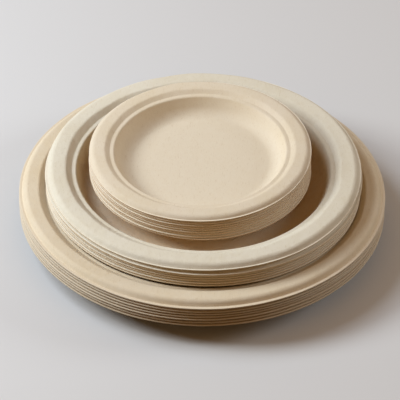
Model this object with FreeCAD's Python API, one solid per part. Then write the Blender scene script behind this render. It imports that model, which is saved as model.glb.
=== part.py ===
import FreeCAD, Part
import math
import os

# Three stacks of round plates, pressed from wet fibre pulp, one stack standing in the next.
# Lengths are in millimetres and angles in degrees. Z is up, and the table is at Z 0.
# The origin is the middle of the large stack's foot.
#
# One plate, from its middle to its edge, seen from above:
# a flat floor, a steep wall, a level ledge, a step up, a broad crown,
# a shoulder that falls to the edge, and a narrow flat lip where the press trims it.

# Large plate, the bottom stack
large_diameter = 260.0
large_thickness = 1.05
large_depth = 14.4
large_lip_width = 2.0
large_crown_width = 9.2
large_crown_height = 3.6
large_count = 7

# Medium plate, which stands in the well of the large one, a little off its middle
medium_rim_clearance = 4.7
medium_lip_rise = 1.8
medium_thickness = 0.8
medium_lip_width = 1.2
medium_crown_width = 10.2
medium_crown_height = 3.2
medium_count = 7
medium_shift_right = 0.7
medium_shift_back = 2.2

# The top medium plate sits proud of its nest and leans
medium_top_lift = 1.9
medium_top_lean = 0.8

# Small plate, which stands in the well of the medium one, a little off its middle
small_rim_clearance = 11.9
small_depth = 12.0
small_thickness = 0.82
small_lip_width = 1.0
small_crown_width = 8.5
small_crown_height = 2.4
small_count = 9
small_shift_right = -2.6
small_shift_back = 4.2

# Each small plate leans a little more than the one under it
small_lean_each = 0.16

# Where a leaning plate's edge is highest, turned from the right towards the back
raised_edge_turn = 33.0

# Slopes and roundings that one press maker gives all three sizes
wall_angle = 62.4
shoulder_angle = 55.0
step_angle = 35.0
ledge_width = 3.0
floor_rounding = 11.0
crown_rounding = 2.2
ledge_rounding = 1.4
lip_rounding = 0.8

# Air left between the walls of two nested plates, square to the wall
nest_clearance = 0.15


def run_of(rise, angle):
    # Level distance that a slope takes to climb the rise.
    return rise / math.tan(math.radians(angle))


def crown_inner_radius(radius, lip_width, crown_width, crown_height):
    # Where the crown ends and the step down to the ledge begins.
    return radius - lip_width - run_of(crown_height, shoulder_angle) - crown_width


def wall_top_radius(crown_inner, crown_height):
    # Where the ledge ends and the wall goes down to the floor.
    return crown_inner - run_of(crown_height, step_angle) - ledge_width


def nest_pitch(thickness):
    # Nested plates wedge on their steepest slope, so that slope sets how far apart they sit.
    steepest = max(wall_angle, shoulder_angle, step_angle)
    return (thickness + nest_clearance) / math.cos(math.radians(steepest))


def upper_corners(radius, depth, lip_width, crown_width, crown_height):
    # Corners of the plate's upper side as (radius, height, rounding). Height 0 is the top of the lip.
    crown_inner = crown_inner_radius(radius, lip_width, crown_width, crown_height)
    crown_outer = crown_inner + crown_width
    wall_top = wall_top_radius(crown_inner, crown_height)
    floor_edge = wall_top - run_of(depth, wall_angle)
    return [
        (0.0, -depth, 0.0),
        (floor_edge, -depth, floor_rounding),
        (wall_top, 0.0, ledge_rounding),
        (wall_top + ledge_width, 0.0, ledge_rounding),
        (crown_inner, crown_height, crown_rounding),
        (crown_outer, crown_height, crown_rounding),
        (radius - lip_width, 0.0, lip_rounding),
        (radius, 0.0, 0.0),
    ]


def direction(start, end):
    # Unit vector from one corner to the next, as (radius, height).
    run = end[0] - start[0]
    rise = end[1] - start[1]
    length = math.hypot(run, rise)
    return run / length, rise / length


def turn_at(corners, index):
    # Signed angle that the line turns by at a corner, positive where it turns upward.
    before = direction(corners[index - 1], corners[index])
    after = direction(corners[index], corners[index + 1])
    cross = before[0] * after[1] - before[1] * after[0]
    dot = before[0] * after[0] + before[1] * after[1]
    return math.atan2(cross, dot)


def fitted_roundings(corners):
    # Limits each rounding so that it takes at most half of the shorter side beside it.
    fitted = [corners[0]]
    for index in range(1, len(corners) - 1):
        radius, height, rounding = corners[index]
        before = math.dist(corners[index - 1][:2], corners[index][:2])
        after = math.dist(corners[index][:2], corners[index + 1][:2])
        room = 0.5 * min(before, after) / math.tan(abs(turn_at(corners, index)) / 2)
        fitted.append((radius, height, min(rounding, room)))
    fitted.append(corners[-1])
    return fitted


def corners_below(corners, thickness):
    # The same line one wall thickness lower, square to each slope, with roundings to match.
    lowered = []
    last = len(corners) - 1
    for index, (radius, height, rounding) in enumerate(corners):
        before = direction(corners[max(index - 1, 0)], corners[max(index, 1)])
        after = direction(corners[min(index, last - 1)], corners[min(index + 1, last)])
        normal_run = before[1] + after[1]
        normal_rise = -before[0] - after[0]
        scale = thickness / (1 + before[0] * after[0] + before[1] * after[1])
        if 0 < index < last and rounding > 0:
            side = 1 if turn_at(corners, index) > 0 else -1
            rounding = max(rounding + side * thickness, 0.0)
        lowered.append((radius + scale * normal_run, height + scale * normal_rise, rounding))
    return lowered


def point(radius, height):
    return FreeCAD.Vector(radius, 0, height)


def rounded_line(corners):
    # Straight edges between the corners, with an arc in place of each rounded corner.
    edges = []
    start = point(*corners[0][:2])
    for index in range(1, len(corners) - 1):
        radius, height, rounding = corners[index]
        corner = point(radius, height)
        if rounding <= 0:
            edges.append(Part.makeLine(start, corner))
            start = corner
            continue
        before = point(*direction(corners[index - 1], corners[index]))
        after = point(*direction(corners[index], corners[index + 1]))
        half_turn = abs(turn_at(corners, index)) / 2
        tangent = rounding * math.tan(half_turn)
        inward = (after - before).normalize()
        arc_start = corner - before * tangent
        arc_end = corner + after * tangent
        arc_middle = corner + inward * (rounding / math.cos(half_turn) - rounding)
        edges.append(Part.makeLine(start, arc_start))
        edges.append(Part.Arc(arc_start, arc_middle, arc_end).toShape())
        start = arc_end
    edges.append(Part.makeLine(start, point(*corners[-1][:2])))
    return edges


def make_plate(corners, thickness, keep_roundings):
    # Turns the wall's section once round the plate's axis. The lip's top is at Z 0.
    if keep_roundings:
        upper = fitted_roundings(corners)
    else:
        upper = [(radius, height, 0.0) for radius, height, rounding in corners]
    lower = corners_below(upper, thickness)
    upper_edges = rounded_line(upper)
    lower_edges = rounded_line(lower)
    axis_edge = Part.makeLine(point(*upper[0][:2]), point(*lower[0][:2]))
    trim_edge = Part.makeLine(point(*upper[-1][:2]), point(*lower[-1][:2]))
    section = Part.Face(Part.Wire(Part.__sortEdges__(upper_edges + [trim_edge] + lower_edges + [axis_edge])))
    plate = section.revolve(FreeCAD.Vector(0, 0, 0), FreeCAD.Vector(0, 0, 1), 360)
    return plate


def moved(right, back, up, lean=0.0):
    # A step from one plate to the next, turned by the lean about the level line square to the raised edge.
    raised = math.radians(raised_edge_turn)
    turn = FreeCAD.Rotation(FreeCAD.Vector(math.sin(raised), -math.cos(raised), 0), lean)
    return FreeCAD.Placement(FreeCAD.Vector(right, back, up), turn)


def save(shape, name):
    shape.exportStep(os.path.join("parts", name + ".step"))


def make_stack(name, corners, thickness, depth, count, floor, lean_each=0.0, top_lift=0.0, top_lean=0.0):
    # Stands count plates in one another on the given floor, and gives the floor of the top one's well.
    # Each plate is placed from the one under it, so what leans carries all that stands on it.
    # Only the top plate shows its well, so the ones under it keep plain corners.
    top_plate = make_plate(corners, thickness, True)
    nested_plate = make_plate(corners, thickness, False)
    place = floor * moved(0, 0, thickness + depth)
    for number in range(1, count + 1):
        if number > 1:
            place = place * moved(0, 0, nest_pitch(thickness), lean_each)
        if number == count:
            place = place * moved(0, 0, top_lift, top_lean)
        plate = (top_plate if number == count else nested_plate).copy()
        plate.Placement = place
        save(plate, f"{name}_{number}")
    return place * moved(0, 0, -depth)


large_radius = large_diameter / 2
large_crown_inner = crown_inner_radius(large_radius, large_lip_width, large_crown_width, large_crown_height)

medium_radius = large_crown_inner - medium_rim_clearance
medium_depth = large_depth + medium_lip_rise
medium_crown_inner = crown_inner_radius(medium_radius, medium_lip_width, medium_crown_width, medium_crown_height)

small_radius = wall_top_radius(medium_crown_inner, medium_crown_height) - small_rim_clearance

large_corners = upper_corners(large_radius, large_depth, large_lip_width, large_crown_width, large_crown_height)
medium_corners = upper_corners(medium_radius, medium_depth, medium_lip_width, medium_crown_width, medium_crown_height)
small_corners = upper_corners(small_radius, small_depth, small_lip_width, small_crown_width, small_crown_height)

os.makedirs("parts", exist_ok=True)
table = moved(0, 0, 0)
large_floor = make_stack("large_plate", large_corners, large_thickness, large_depth, large_count, table)
medium_foot = large_floor * moved(medium_shift_right, medium_shift_back, 0)
medium_floor = make_stack(
    "medium_plate", medium_corners, medium_thickness, medium_depth, medium_count, medium_foot,
    top_lift=medium_top_lift, top_lean=medium_top_lean,
)
small_foot = medium_floor * moved(small_shift_right, small_shift_back, 0)
make_stack(
    "small_plate", small_corners, small_thickness, small_depth, small_count, small_foot,
    lean_each=small_lean_each,
)
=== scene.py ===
import bpy
import math
import numpy as np
from mathutils import Matrix, Vector


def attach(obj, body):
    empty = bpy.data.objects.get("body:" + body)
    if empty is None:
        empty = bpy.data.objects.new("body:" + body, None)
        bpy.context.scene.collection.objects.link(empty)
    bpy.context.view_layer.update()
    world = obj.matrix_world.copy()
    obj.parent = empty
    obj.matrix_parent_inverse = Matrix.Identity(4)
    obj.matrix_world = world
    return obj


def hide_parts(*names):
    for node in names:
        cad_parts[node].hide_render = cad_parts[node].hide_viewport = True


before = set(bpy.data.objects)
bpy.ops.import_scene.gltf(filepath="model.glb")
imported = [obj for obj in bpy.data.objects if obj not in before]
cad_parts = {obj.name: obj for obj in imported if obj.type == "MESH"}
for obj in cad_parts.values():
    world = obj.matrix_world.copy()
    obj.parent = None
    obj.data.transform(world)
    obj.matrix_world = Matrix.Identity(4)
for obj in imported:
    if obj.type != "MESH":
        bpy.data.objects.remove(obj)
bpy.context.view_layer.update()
print("frame loaded:", len(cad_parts), "plates")

mm = 0.001
body = "root"

# Slopes in degrees and lengths in millimetres that all three sizes share. A rounding takes at most
# roundingShare of the run on each side of it. The shoulder rolls off softly, so its rounding may take
# shoulderShare of the fall.
press = {
    "wallAngle": 62.4,
    "stepAngle": 35.0,
    "ledgeWidth": 3.0,
    "floorRounding": 11.0,
    "crownRounding": 3.2,
    "shoulderRounding": 4.2,
    "shoulderShare": 0.8,
    "ledgeRounding": 1.6,
    "lipRounding": 0.5,
    "roundingShare": 0.5,
    "crownReach": 2.0,  # how far round a crown's edge its straying is felt
    "trimBulge": 0.12,  # the cut edge is a little rounder than square
    "trimFuzz": 0.03,  # fine unevenness of the cut
}

# Lowest and highest number of waves round the plate, for each way that a rim strays.
waveCounts = {
    "familyFlutter": (2, 5),
    "ownFlutter": (1, 7),
    "trimWander": (1, 8),
    "trimFuzz": (16, 60),
    "crownWander": (5, 28),
}

# Sizes of each plate in millimetres. Drying bends the thin rim up and down: the plates of a stack share
# familyFlutter, and ownFlutter differs. trimWander is how far the cut edge strays from a true circle, and
# crownWander how far the crown's two edges do. proud is how far the trim of a numbered plate stands out
# past the others, and squeeze how much closer two rims sit than their wells.
largePlate = {
    "name": "large_plate",
    "slot": "large_plate_pulp",
    "count": 7,
    "thickness": 1.00,
    "depth": 14.4,
    "lipWidth": 2.1,
    "shoulderRun": 2.4,
    "crownWidth": 9.2,
    "crownHeight": 3.6,
    "familyFlutter": 0.25,
    "ownFlutter": 0.16,
    "trimWander": 0.20,
    "crownWander": 0.12,
    "proud": {6: 0.2, 2: 0.15},
    "squeeze": 0.15,
    "seed": 11,
}
mediumPlate = {
    "name": "medium_plate",
    "slot": "medium_plate_pulp",
    "count": 7,
    "thickness": 0.80,
    "depth": 16.2,
    "lipWidth": 0.9,
    "shoulderRun": 2.55,
    "crownWidth": 10.2,
    "crownHeight": 3.2,
    "familyFlutter": 0.20,
    "ownFlutter": 0.13,
    "trimWander": 0.18,
    "crownWander": 0.28,
    "proud": {7: -0.1, 6: 0.85, 2: 0.3, 1: 0.1},
    "squeeze": 0.04,
    "seed": 23,
}
smallPlate = {
    "name": "small_plate",
    "slot": "small_plate_pulp",
    "count": 9,
    "thickness": 0.78,
    "depth": 12.0,
    "lipWidth": 0.6,
    "shoulderRun": 2.0,
    "crownWidth": 8.5,
    "crownHeight": 2.4,
    "familyFlutter": 0.15,
    "ownFlutter": 0.12,
    "trimWander": 0.16,
    "crownWander": 0.14,
    "proud": {9: 0.1, 6: 0.15, 2: 0.2, 1: 0.25},
    "squeeze": 0.0,
    "seed": 37,
}

# Samples round a plate and along each stretch of its section. The top plate of each stack shows its whole
# well, so it has more of them than the ones under it.
topSamples = {"around": 384, "floor": 10, "floorArc": 20, "arc": 10, "lip": 3, "cut": 5}
nestedSamples = {"around": 240, "floor": 3, "floorArc": 10, "arc": 5, "lip": 3, "cut": 5}

# Values of the attribute side, which tells the material what it covers.
sides = {"above": 0.0, "cut": 0.5, "under": 1.0}


def seatOf(node):
    # Foot, axes and radius of a plate, read from its solid. The floor is flat and has the largest faces, so
    # the largest one's normal is the axis, and the foot is where the axis meets the plate's lowest plane.
    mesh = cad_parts[node].data
    points = np.empty(len(mesh.vertices) * 3)
    mesh.vertices.foreach_get("co", points)
    points = points.reshape(-1, 3)
    middle = (points.min(axis=0) + points.max(axis=0)) / 2
    axis = np.array(max(mesh.polygons, key=lambda face: face.area).normal)
    axis = axis * math.copysign(1.0, axis[2])
    right = np.cross([0.0, 1.0, 0.0], axis)
    right = right / np.linalg.norm(right)
    back = np.cross(axis, right)
    across = (points - middle) @ right
    along = (points - middle) @ back
    up = (points - middle) @ axis
    foot = (middle + right * (across.min() + across.max()) / 2
            + back * (along.min() + along.max()) / 2 + axis * up.min())
    return foot, np.array([right, back, axis]), (along.max() - along.min()) / 2


def runOf(rise, angle):
    # Level distance that a slope takes to climb the rise.
    return rise / math.tan(math.radians(angle))


def upperCorners(plate, radius):
    # Corners of the upper side from the middle out, each (radius, height, rounding). Height 0 is the lip's top.
    lipInner = radius - plate["lipWidth"]
    crownOuter = lipInner - plate["shoulderRun"]
    crownInner = crownOuter - plate["crownWidth"]
    stepFoot = crownInner - runOf(plate["crownHeight"], press["stepAngle"])
    wallTop = stepFoot - press["ledgeWidth"]
    floorEdge = wallTop - runOf(plate["depth"], press["wallAngle"])
    return {
        "middle": (0.0, -plate["depth"], 0.0),
        "floorEdge": (floorEdge, -plate["depth"], press["floorRounding"]),
        "wallTop": (wallTop, 0.0, press["ledgeRounding"]),
        "stepFoot": (stepFoot, 0.0, press["ledgeRounding"]),
        "crownInner": (crownInner, plate["crownHeight"], press["crownRounding"]),
        "crownOuter": (crownOuter, plate["crownHeight"], press["shoulderRounding"]),
        "lipInner": (lipInner, 0.0, press["lipRounding"]),
        "trim": (radius, 0.0, 0.0),
    }


def roundedLine(corners, samples):
    # Straight runs joined by arcs, as arrays of radius, height and slope. Along an arc the slope turns
    # evenly from one run's to the next, and the point is centre + side * rounding * (sin slope, -cos slope),
    # where side is 1 for an upward turn and -1 for a downward one.
    names = list(corners)
    points = np.array([corners[name][:2] for name in names])
    steps = np.diff(points, axis=0)
    slopes = np.arctan2(steps[:, 1], steps[:, 0])
    lengths = np.hypot(steps[:, 0], steps[:, 1])
    flatReach = points[1, 0] * 0.8  # stops short of the floor's rounding
    flat = np.linspace(0, flatReach, samples["floor"])
    rows = [np.column_stack([flat, np.full(len(flat), points[0, 1]), np.zeros(len(flat))])]
    for index, name in enumerate(names[1:-1], start=1):
        turn = slopes[index] - slopes[index - 1]
        halfTan = math.tan(abs(turn) / 2)
        share = press["shoulderShare"] if name == "crownOuter" else press["roundingShare"]
        room = min(press["roundingShare"] * lengths[index - 1], share * lengths[index]) / halfTan
        rounding = min(corners[name][2], room)
        side = math.copysign(1.0, turn)
        before = np.array([math.cos(slopes[index - 1]), math.sin(slopes[index - 1])])
        start = points[index] - rounding * halfTan * before
        centre = start + side * rounding * np.array([-before[1], before[0]])
        count = samples["floorArc"] if name == "floorEdge" else samples["arc"]
        slope = np.linspace(slopes[index - 1], slopes[index], count)
        arc = centre + side * rounding * np.column_stack([np.sin(slope), -np.cos(slope)])
        rows.append(np.column_stack([arc, slope]))
    lip = np.linspace(rows[-1][-1, :2], points[-1], samples["lip"] + 1)[1:]
    rows.append(np.column_stack([lip, np.zeros(len(lip))]))
    line = np.vstack(rows)
    return line[:, 0], line[:, 1], line[:, 2]


def wallSection(plate, corners, samples):
    # Upper line, cut edge, then the upper line moved square to itself by the thickness and run back to the
    # middle: (r + thickness sin slope, z - thickness cos slope). The cut is half an ellipse from the upper
    # line's end to the lower one's. The well mask, for the painted shade in the well, goes from 0 at the ledge
    # to 1 halfway down the wall, and the lip mask, for the painted highlight on the lip, from 0 to 1 over the
    # lip's top.
    r, z, slope = roundedLine(corners, samples)
    radius = corners["trim"][0]
    thick = plate["thickness"]
    under = np.column_stack([r + thick * np.sin(slope), z - thick * np.cos(slope)])[::-1]
    bend = np.linspace(0, math.pi, samples["cut"] + 2)[1:-1]
    cut = np.column_stack([radius + press["trimBulge"] * np.sin(bend), -thick / 2 * (1 - np.cos(bend))])
    line = np.vstack([np.column_stack([r, z]), cut, under])
    onlyAbove = np.zeros(len(cut) + len(under))
    zones = {
        "side": np.repeat([sides["above"], sides["cut"], sides["under"]], [len(r), len(cut), len(under)]),
        "well": np.concatenate([np.clip(-2 * z / plate["depth"], 0, 1), onlyAbove]),
        "lip": np.concatenate([np.clip((r - radius) / plate["lipWidth"] + 1, 0, 1), onlyAbove]),
    }
    return line[:, 0], line[:, 1], zones


def waves(angle, random, counts, size):
    # Sum of cosines round the plate, one for each count of waves. Each has its own phase and a height that
    # falls as one over its count, and the sum is scaled to the root mean square given as size.
    count = np.arange(counts[0], counts[1] + 1)[:, None]
    phase = random.uniform(0, 2 * math.pi, (len(count), 1))
    height = random.uniform(0.5, 1.0, (len(count), 1)) / count
    total = (height * np.cos(count * angle[None, :] + phase)).sum(axis=0)
    return total * size / math.sqrt(0.5 * (height ** 2).sum())


def plateSurface(plate, number):
    # Section turned round the axis: (sample, angle) to (r cos angle, r sin angle, z). The rim is lifted by
    # flutter(angle), growing as the square of the way from the ledge to the edge. Each of the crown's two
    # edges is shifted by its own waves, fading as exp(-(distance / crownReach)^2), and only the flat lip is
    # drawn out by wander(angle), growing evenly over the lip's width.
    foot, axes, radius = seatOf(f"{plate['name']}_{number}")
    radius = radius / mm
    samples = topSamples if number == plate["count"] else nestedSamples
    corners = upperCorners(plate, radius)
    r, z, zones = wallSection(plate, corners, samples)
    angle = np.arange(samples["around"]) * 2 * math.pi / samples["around"]
    family = np.random.default_rng(plate["seed"])
    own = np.random.default_rng(plate["seed"] * 100 + number)

    flutter = waves(angle, family, waveCounts["familyFlutter"], plate["familyFlutter"])
    flutter = flutter + waves(angle, own, waveCounts["ownFlutter"], plate["ownFlutter"])
    flutter = flutter + plate["squeeze"] * (plate["count"] - number)
    wander = waves(angle, own, waveCounts["trimWander"], plate["trimWander"])
    wander = wander + waves(angle, own, waveCounts["trimFuzz"], press["trimFuzz"])
    wander = wander + plate["proud"].get(number, 0.0) - plate["trimWander"] / 2

    wallTop, lipInner = corners["wallTop"][0], corners["lipInner"][0]
    reach = np.clip((r - wallTop) / (radius - wallTop), 0, 1)[:, None] ** 2
    overLip = np.clip((r - lipInner) / (radius - lipInner), 0, 1)[:, None]
    outer = r[:, None] + overLip * wander[None, :]
    for name in ("crownInner", "crownOuter"):
        stray = waves(angle, family, waveCounts["crownWander"], plate["crownWander"])
        near = np.exp(-((r[:, None] - corners[name][0]) / press["crownReach"]) ** 2)
        outer = outer + near * (1 - overLip) * stray[None, :]
    height = z[:, None] + reach * flutter[None, :] + plate["depth"] + plate["thickness"]
    local = np.stack([outer * np.cos(angle), outer * np.sin(angle), height], axis=-1) * mm
    return foot + local @ axes, zones


def addPlate(plate, number, material):
    # Rings of vertices joined by four-sided faces. The first and the last ring lie on the axis, so each is
    # one vertex, joined to its neighbour ring by triangles, and the surface is closed.
    rings, zones = plateSurface(plate, number)
    around = rings.shape[1]
    ringCount = len(rings) - 2
    vertices = np.vstack([rings[1:-1].reshape(-1, 3), rings[0, :1], rings[-1, :1]])
    ring, place = np.meshgrid(np.arange(ringCount - 1), np.arange(around), indexing="ij")
    following = (place + 1) % around
    quads = np.stack([
        ring * around + place,
        (ring + 1) * around + place,
        (ring + 1) * around + following,
        ring * around + following,
    ], axis=-1).reshape(-1, 4)
    first = np.arange(around)
    second = (first + 1) % around
    lastRing = (ringCount - 1) * around
    topPole = np.column_stack([np.full(around, ringCount * around), first, second])
    underPole = np.column_stack([np.full(around, ringCount * around + 1), lastRing + second, lastRing + first])
    corners = np.concatenate([quads.ravel(), topPole.ravel(), underPole.ravel()])
    starts = np.concatenate([np.arange(len(quads)) * 4, len(quads) * 4 + np.arange(2 * around) * 3])

    name = f"{plate['name']}_{number}"
    mesh = bpy.data.meshes.new(name + "_pulp")
    mesh.vertices.add(len(vertices))
    mesh.vertices.foreach_set("co", vertices.astype(np.float32).ravel())
    mesh.loops.add(len(corners))
    mesh.loops.foreach_set("vertex_index", corners.astype(np.int32))
    mesh.polygons.add(len(starts))
    mesh.polygons.foreach_set("loop_start", starts.astype(np.int32))
    mesh.update(calc_edges=True)
    mesh.validate()
    mesh.polygons.foreach_set("use_smooth", np.ones(len(mesh.polygons), dtype=bool))
    for zone, value in zones.items():
        spread = np.concatenate([np.repeat(value[1:-1], around), value[[0, -1]]])
        attribute = mesh.attributes.new(zone, "FLOAT", "POINT")
        attribute.data.foreach_set("value", spread.astype(np.float32))
    mesh.materials.append(material)
    piece = bpy.data.objects.new(name + "_pulp", mesh)
    bpy.context.scene.collection.objects.link(piece)
    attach(piece, body)
    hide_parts(name)


def linear(hexColour):
    # sRGB hex to the linear colour that the nodes take.
    parts = [int(hexColour[i:i + 2], 16) / 255 for i in (1, 3, 5)]
    return tuple(p / 12.92 if p <= 0.04045 else ((p + 0.055) / 1.055) ** 2.4 for p in parts) + (1.0,)


def addNode(tree, kind, settings=None, links=None):
    # settings hold the node's own properties by name and its sockets by name or number.
    node = tree.nodes.new(kind)
    for key, value in (settings or {}).items():
        if isinstance(key, str) and hasattr(node, key):
            setattr(node, key, value)
        else:
            node.inputs[key].default_value = value
    for key, socket in (links or {}).items():
        tree.links.new(socket, node.inputs[key])
    return node


# Moulded sugarcane-fibre pulp, pressed hot against a smooth tool above and a wire screen below. To the eye it
# is matt cream, with soft clouds, hair-fine fibres, a fine grain and shallow dimples. Over this lies painted
# light: painted shade in the well, a painted highlight on the lip, painted shade on the cut edge, and painted
# shade under the lips, where the under side is made browner. The under side also has a faint weave from the
# screen.
# Sizes and heights are in millimetres. A fade gives the noise values between which a mark comes up, and a
# share is how far its colour covers what lies under it.
pulp = {
    "cloudSize": 30.0,  # where the wet fibres settled thicker or thinner
    "cloudFade": (0.34, 0.66),
    "mottleSize": 4.0,  # clumps of fibres
    "mottleFade": (0.38, 0.66),
    "mottleShare": 0.22,
    "fibreSize": 0.7,  # real fibres are about 0.05 mm wide, drawn coarser so that they show
    "fibreScale": (1.0, 0.2, 0.6),  # of the noise along its axes, so fibres are five times as long as wide
    "fibreTurns": ((0.2, 0.3, 0.6), (0.4, 0.1, 2.1)),  # the two ways that they lie, in radians
    "fibreFade": (0.62, 0.80),
    "fibreShare": 0.35,
    "fibreLift": 0.5,  # a fibre's height beside the grain's
    "grainSize": 0.8,  # real grain is about 0.1 mm, drawn coarser so that it shows
    "grainHeight": 0.035,
    "grainStrength": 0.6,
    "screenPitch": 1.2,  # a real screen's wires are about 0.5 mm apart, drawn coarser so that they show
    "screenHeight": 0.06,
    "screenStrength": 0.5,
    "dimpleSize": 5.0,  # where the drying wall draws in
    # painted shade under the lips: the under side, seen in the gaps between nested lips, is painted browner
    "underColour": "#CDAE82",
    "underShadeShare": 0.6,
    # how far the painted shade on the cut edge covers the colour under it
    "cutShadeShare": 0.8,
    "roughness": 0.8,
    "refraction": 1.5,
}


def pulpMaterial(finish):
    material = bpy.data.materials.new(finish["name"])
    material.use_nodes = True
    tree = material.node_tree
    tree.nodes.clear()
    where = addNode(tree, "ShaderNodeTexCoord").outputs["Object"]
    side = addNode(tree, "ShaderNodeAttribute", {"attribute_name": "side"}).outputs["Fac"]
    well = addNode(tree, "ShaderNodeAttribute", {"attribute_name": "well"}).outputs["Fac"]
    # the lip mask carries the painted highlight on the lip's top
    lip = addNode(tree, "ShaderNodeAttribute", {"attribute_name": "lip"}).outputs["Fac"]

    # clouds, and over them painted shade in the well
    cloud = addNode(tree, "ShaderNodeTexNoise",
                    {"Scale": 1 / (pulp["cloudSize"] * mm), "Detail": 3.0}, {"Vector": where})
    cloudy = addNode(tree, "ShaderNodeMapRange",
                     {"From Min": pulp["cloudFade"][0], "From Max": pulp["cloudFade"][1]},
                     {"Value": cloud.outputs["Fac"]})
    clouded = addNode(tree, "ShaderNodeMix",
                      {"data_type": "RGBA", 6: linear(finish["base"]), 7: linear(finish["warm"])},
                      {0: cloudy.outputs["Result"]})
    wellShaded = addNode(tree, "ShaderNodeMix", {"data_type": "RGBA", 7: linear(finish["well"])},
                    {0: well, 6: clouded.outputs[2]})

    # pale patches
    mottle = addNode(tree, "ShaderNodeTexNoise",
                     {"Scale": 1 / (pulp["mottleSize"] * mm), "Detail": 5.0, "Roughness": 0.62},
                     {"Vector": where})
    patchy = addNode(tree, "ShaderNodeMapRange",
                     {"From Min": pulp["mottleFade"][0], "From Max": pulp["mottleFade"][1],
                      "To Max": pulp["mottleShare"]},
                     {"Value": mottle.outputs["Fac"]})
    mottled = addNode(tree, "ShaderNodeMix", {"data_type": "RGBA", 7: linear(finish["pale"])},
                      {0: patchy.outputs["Result"], 6: wellShaded.outputs[2]})

    # darker fibres that lie two ways
    hairs = []
    for turn in pulp["fibreTurns"]:
        laid = addNode(tree, "ShaderNodeMapping", {"Rotation": turn, "Scale": pulp["fibreScale"]},
                       {"Vector": where})
        hairs.append(addNode(tree, "ShaderNodeTexNoise",
                             {"Scale": 1 / (pulp["fibreSize"] * mm), "Detail": 1.0, "Distortion": 0.8},
                             {"Vector": laid.outputs["Vector"]}).outputs["Fac"])
    hair = addNode(tree, "ShaderNodeMath", {"operation": "MAXIMUM"}, {0: hairs[0], 1: hairs[1]})
    thinHair = addNode(tree, "ShaderNodeMapRange",
                       {"From Min": pulp["fibreFade"][0], "From Max": pulp["fibreFade"][1],
                        "To Max": pulp["fibreShare"]},
                       {"Value": hair.outputs["Value"]})
    haired = addNode(tree, "ShaderNodeMix", {"data_type": "RGBA", 7: linear(finish["fibre"])},
                     {0: thinHair.outputs["Result"], 6: mottled.outputs[2]})

    # painted shade on the under side, painted highlight on the lip and painted shade on the cut edge
    below = addNode(tree, "ShaderNodeMath",
                    {"operation": "GREATER_THAN", 1: (sides["cut"] + sides["under"]) / 2}, {0: side})
    # painted shade: the under side is painted browner, for the shade in the gaps under the lips
    underShadeAmount = addNode(tree, "ShaderNodeMath", {"operation": "MULTIPLY", 1: pulp["underShadeShare"]},
                      {0: below.outputs["Value"]})
    underShaded = addNode(tree, "ShaderNodeMix", {"data_type": "RGBA", 7: linear(pulp["underColour"])},
                      {0: underShadeAmount.outputs["Value"], 6: haired.outputs[2]})
    # painted highlight: the lip's top is painted paler, as a flat lip catching the light
    lipHighlighted = addNode(tree, "ShaderNodeMix", {"data_type": "RGBA", 7: linear(finish["lip"])},
                     {0: lip, 6: underShaded.outputs[2]})
    # painted shade: the cut edge is painted browner, for the shade on the stacks' fronts
    fromCut = addNode(tree, "ShaderNodeMath", {"operation": "PINGPONG", 1: sides["cut"]}, {0: side})
    onCut = addNode(tree, "ShaderNodeMapRange",
                    {"From Min": sides["cut"] / 2, "From Max": sides["cut"], "To Max": pulp["cutShadeShare"]},
                    {"Value": fromCut.outputs["Value"]})
    cutShaded = addNode(tree, "ShaderNodeMix", {"data_type": "RGBA", 7: linear(finish["cut"])},
                    {0: onCut.outputs["Result"], 6: lipHighlighted.outputs[2]})

    # relief: grain and fibres, the screen's weave cos x * cos y below, and dimples
    grain = addNode(tree, "ShaderNodeTexNoise",
                    {"Scale": 1 / (pulp["grainSize"] * mm), "Detail": 4.0, "Roughness": 0.6},
                    {"Vector": where})
    rough = addNode(tree, "ShaderNodeMath", {"operation": "MULTIPLY_ADD", 1: pulp["fibreLift"]},
                    {0: hair.outputs["Value"], 2: grain.outputs["Fac"]})
    grainBump = addNode(tree, "ShaderNodeBump",
                        {"Strength": pulp["grainStrength"], "Distance": pulp["grainHeight"] * mm},
                        {"Height": rough.outputs["Value"]})
    parts = addNode(tree, "ShaderNodeSeparateXYZ", links={"Vector": where})
    wires = []
    for axis in ("X", "Y"):
        turned = addNode(tree, "ShaderNodeMath",
                         {"operation": "MULTIPLY", 1: 2 * math.pi / (pulp["screenPitch"] * mm)},
                         {0: parts.outputs[axis]})
        wires.append(addNode(tree, "ShaderNodeMath", {"operation": "COSINE"}, {0: turned.outputs["Value"]}))
    weave = addNode(tree, "ShaderNodeMath", {"operation": "MULTIPLY"},
                    {0: wires[0].outputs["Value"], 1: wires[1].outputs["Value"]})
    weaveBelow = addNode(tree, "ShaderNodeMath", {"operation": "MULTIPLY"},
                         {0: weave.outputs["Value"], 1: below.outputs["Value"]})
    screenBump = addNode(tree, "ShaderNodeBump",
                         {"Strength": pulp["screenStrength"], "Distance": pulp["screenHeight"] * mm},
                         {"Height": weaveBelow.outputs["Value"], "Normal": grainBump.outputs["Normal"]})
    dimple = addNode(tree, "ShaderNodeTexNoise",
                     {"Scale": 1 / (pulp["dimpleSize"] * mm), "Detail": 2.0}, {"Vector": where})
    dimpleBump = addNode(tree, "ShaderNodeBump",
                         {"Strength": 1.0, "Distance": finish["dimpleHeight"] * mm},
                         {"Height": dimple.outputs["Fac"], "Normal": screenBump.outputs["Normal"]})

    shader = addNode(tree, "ShaderNodeBsdfPrincipled",
                     {"Roughness": pulp["roughness"], "IOR": pulp["refraction"]},
                     {"Base Color": cutShaded.outputs[2], "Normal": dimpleBump.outputs["Normal"]})
    addNode(tree, "ShaderNodeOutputMaterial", links={"Surface": shader.outputs["BSDF"]})
    return material
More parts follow.
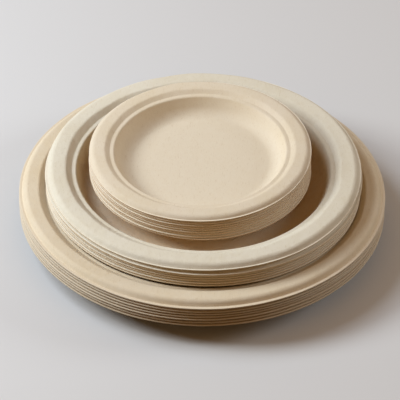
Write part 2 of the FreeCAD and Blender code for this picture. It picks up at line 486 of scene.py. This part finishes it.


# Colours of each size's pulp: its clouds go from base to warm, with pale patches and darker fibres. Over them
# lie
# painted light: the well colour is painted shade in the well, browner on the medium size; the lip colour is a
# painted highlight on the lip's top, paler on the two smaller sizes; and the cut colour is painted shade on the
# cut edge, browner on the two smaller sizes. dimpleHeight is in millimetres.
finishes = {
    "large_plate": {
        "name": "mouldedPulpNatural",
        "base": "#E1D0B2",
        "warm": "#DDCAA8",
        "pale": "#E6DAC3",
        "fibre": "#BEA47C",
        "well": "#E1D0B2",
        "lip": "#E1D0B4",
        "cut": "#E2D2B8",
        "dimpleHeight": 0.15,
    },
    "medium_plate": {
        "name": "mouldedPulpPale",
        "base": "#E1D8C1",
        "warm": "#DDD2B8",
        "pale": "#E7DFCF",
        "fibre": "#C2AE8A",
        # painted shade in the well, browner and warmer than the base
        "well": "#E4CBA8",
        "lip": "#F8EED8",
        "cut": "#DFC8A4",
        "dimpleHeight": 0.35,
    },
    "small_plate": {
        "name": "mouldedPulpCream",
        "base": "#E1D1B6",
        "warm": "#DDCCAD",
        "pale": "#E6DBC5",
        "fibre": "#BFA57E",
        "well": "#E0D1B6",
        "lip": "#FCF1DA",
        "cut": "#CDAB80",
        "dimpleHeight": 0.10,
    },
}
materials = {plate: pulpMaterial(finish) for plate, finish in finishes.items()}
print("pulp materials ready")

for plate in (largePlate, mediumPlate, smallPlate):
    for number in range(1, plate["count"] + 1):
        addPlate(plate, number, materials[plate["name"]])
    print(plate["name"], "stack of", plate["count"], "built")

# Studio: a wide pale floor and a weak warm sky. Lengths are in metres.
studio = {
    "floorHalf": 3.0,
    "floorColour": "#D9D7D3",
    "floorBounce": "#3A3836",  # what the floor sends back to the plates
    "skyStrength": 0.24,
    "skyColour": "#FFC98D",
}

# Three soft round lamps: a broad one high on the left and a little behind, one lower on the left and a weaker
# one low on the right, which brighten the stacks' sides. Turns are in degrees from +X towards +Y.
mainLamp = {
    "name": "mainLamp",
    "turn": 165.0,
    "rise": 50.0,
    "distance": 1.5,
    "size": 0.8,
    "power": 13.8,
    "colour": "#DCECFF",
}
leftLamp = {
    "name": "leftLamp",
    "turn": 180.0,
    "rise": 33.0,
    "distance": 1.5,
    "size": 0.5,
    "power": 13.6,
    "colour": "#ECF6FF",
}
rightLamp = {
    "name": "rightLamp",
    "turn": 10.0,
    "rise": 25.0,
    "distance": 1.5,
    "size": 0.6,
    "power": 6.5,
    "colour": "#EAF5FF",
}


def addFloor():
    # Matt paint, rolled on: one even pale tone without gloss. The camera and reflections see the pale colour,
    # and the plates get back the light of the darker one.
    half = studio["floorHalf"]
    corners = [(-half, -half, 0), (half, -half, 0), (half, half, 0), (-half, half, 0)]
    mesh = bpy.data.meshes.new("floor")
    mesh.from_pydata(corners, [], [(0, 1, 2, 3)])
    material = bpy.data.materials.new("rolledPaintPale")
    material.use_nodes = True
    tree = material.node_tree
    tree.nodes.clear()
    rays = addNode(tree, "ShaderNodeLightPath")
    seen = addNode(tree, "ShaderNodeMath", {"operation": "MAXIMUM"},
                   {0: rays.outputs["Is Camera Ray"], 1: rays.outputs["Is Glossy Ray"]})
    seenAll = addNode(tree, "ShaderNodeMath", {"operation": "MAXIMUM"},
                      {0: seen.outputs["Value"], 1: rays.outputs["Is Transmission Ray"]})
    colour = addNode(tree, "ShaderNodeMix",
                     {"data_type": "RGBA", 6: linear(studio["floorBounce"]), 7: linear(studio["floorColour"])},
                     {0: seenAll.outputs["Value"]})
    shader = addNode(tree, "ShaderNodeBsdfDiffuse", links={"Color": colour.outputs[2]})
    addNode(tree, "ShaderNodeOutputMaterial", links={"Surface": shader.outputs["BSDF"]})
    mesh.materials.append(material)
    floor = bpy.data.objects.new("floor", mesh)
    bpy.context.scene.collection.objects.link(floor)


def addLamp(lamp):
    # A disk at its distance from the origin, facing it.
    turn, rise = math.radians(lamp["turn"]), math.radians(lamp["rise"])
    away = Vector((math.cos(rise) * math.cos(turn), math.cos(rise) * math.sin(turn), math.sin(rise)))
    data = bpy.data.lights.new(lamp["name"], "AREA")
    data.shape = "DISK"
    data.size = lamp["size"]
    data.energy = lamp["power"]
    data.color = linear(lamp["colour"])[:3]
    light = bpy.data.objects.new(lamp["name"], data)
    light.location = away * lamp["distance"]
    light.rotation_euler = away.to_track_quat("Z", "Y").to_euler()
    bpy.context.scene.collection.objects.link(light)


def addSky():
    world = bpy.data.worlds.new("warmSky")
    world.use_nodes = True
    sky = world.node_tree.nodes["Background"]
    sky.inputs["Color"].default_value = linear(studio["skyColour"])
    sky.inputs["Strength"].default_value = studio["skyStrength"]
    bpy.context.scene.world = world


# Long lens from above the front edge, turned a little about its own line of sight. Angles are in degrees,
# and the sensor's width is in millimetres.
viewpoint = {
    "rise": 38.89,
    "distance": 2.0,
    "reach": 1.378,  # focal length in picture pixels per millimetre of distance
    "aimRight": -0.00132,
    "aimBack": 0.02505,
    "roll": 1.48,
    "pictureSide": 400,
    "sensor": 36.0,
    "clipEnd": 20.0,
}


def addCamera():
    rise = math.radians(viewpoint["rise"])
    focalPixels = viewpoint["reach"] * viewpoint["distance"] / mm
    data = bpy.data.cameras.new("camera")
    data.sensor_width = viewpoint["sensor"]
    data.lens = focalPixels / viewpoint["pictureSide"] * viewpoint["sensor"]
    data.clip_end = viewpoint["clipEnd"]
    camera = bpy.data.objects.new("camera", data)
    aim = Vector((viewpoint["aimRight"], viewpoint["aimBack"], 0))
    away = Vector((0, -math.cos(rise), math.sin(rise)))
    place = Matrix.Translation(aim + viewpoint["distance"] * away)
    tilt = Matrix.Rotation(math.pi / 2 - rise, 4, "X")
    roll = Matrix.Rotation(math.radians(viewpoint["roll"]), 4, "Z")
    camera.matrix_world = place @ tilt @ roll
    bpy.context.scene.collection.objects.link(camera)
    bpy.context.scene.camera = camera


addFloor()
for lamp in (mainLamp, leftLamp, rightLamp):
    addLamp(lamp)
addSky()
addCamera()
scene = bpy.context.scene
scene.view_settings.view_transform = "Standard"
print("studio ready")
